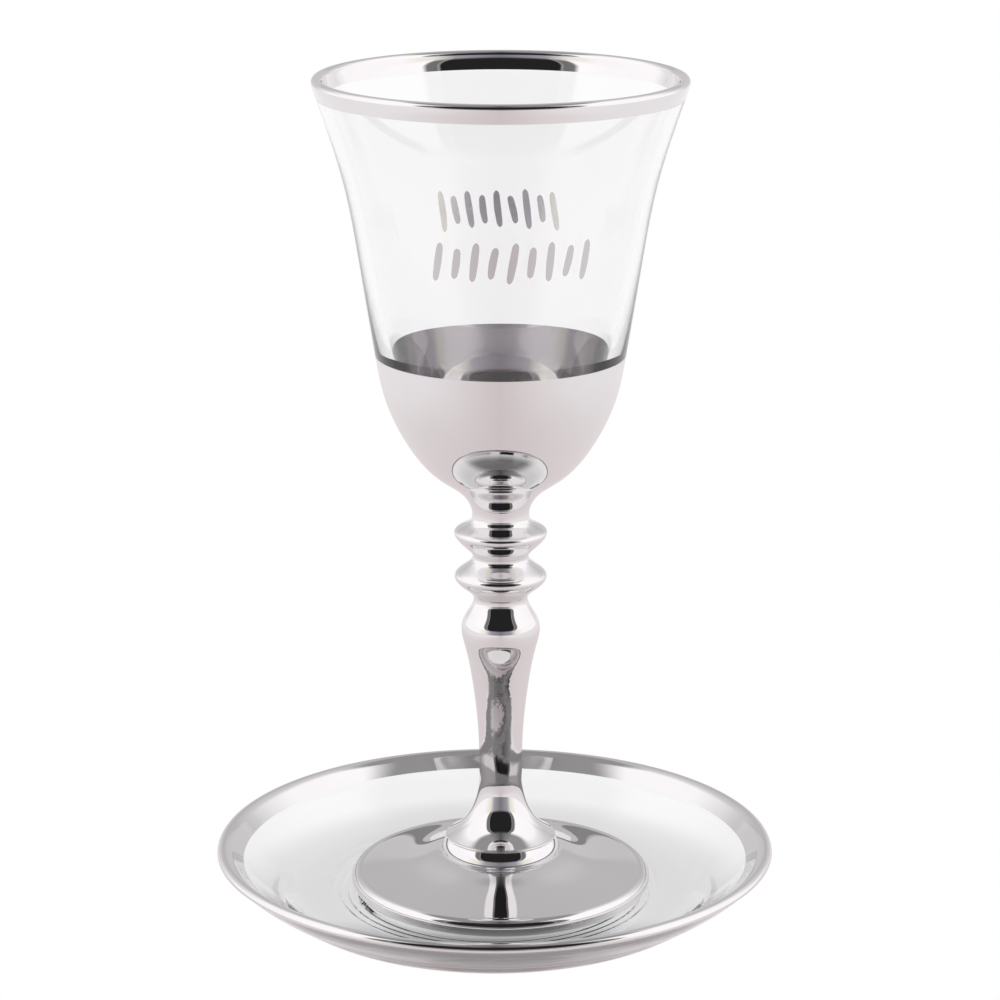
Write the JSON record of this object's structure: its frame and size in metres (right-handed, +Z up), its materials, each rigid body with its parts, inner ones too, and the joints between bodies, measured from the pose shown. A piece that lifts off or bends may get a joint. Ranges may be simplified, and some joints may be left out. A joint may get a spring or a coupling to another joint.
{
  "type": "kiddush cup with saucer",
  "caption": "Stemmed glass goblet with a silvered rim, lower bowl, stem and disc foot, standing in a shallow round glass saucer with a silvered rim.",
  "frame": {"origin": "centre of the saucer's underside, on the surface that the set stands on", "axes": "+Z up along the cup, -Y toward the front face of the cup, +X to the right seen from the front"},
  "size_m": [0.111, 0.111, 0.1663],
  "materials": {
    "cup_glass": "clear polished glass, with a silver mirror coat on its rim, lower bowl, stem and foot",
    "saucer_glass": "clear polished glass, with a silver mirror coat round its rim",
    "silver_coat": "bright silver mirror coat on the glass, thin as a film"
  },
  "bodies": {
    "root": {"cup": "cup_glass", "saucer": "saucer_glass"}
  },
  "joints": []
}
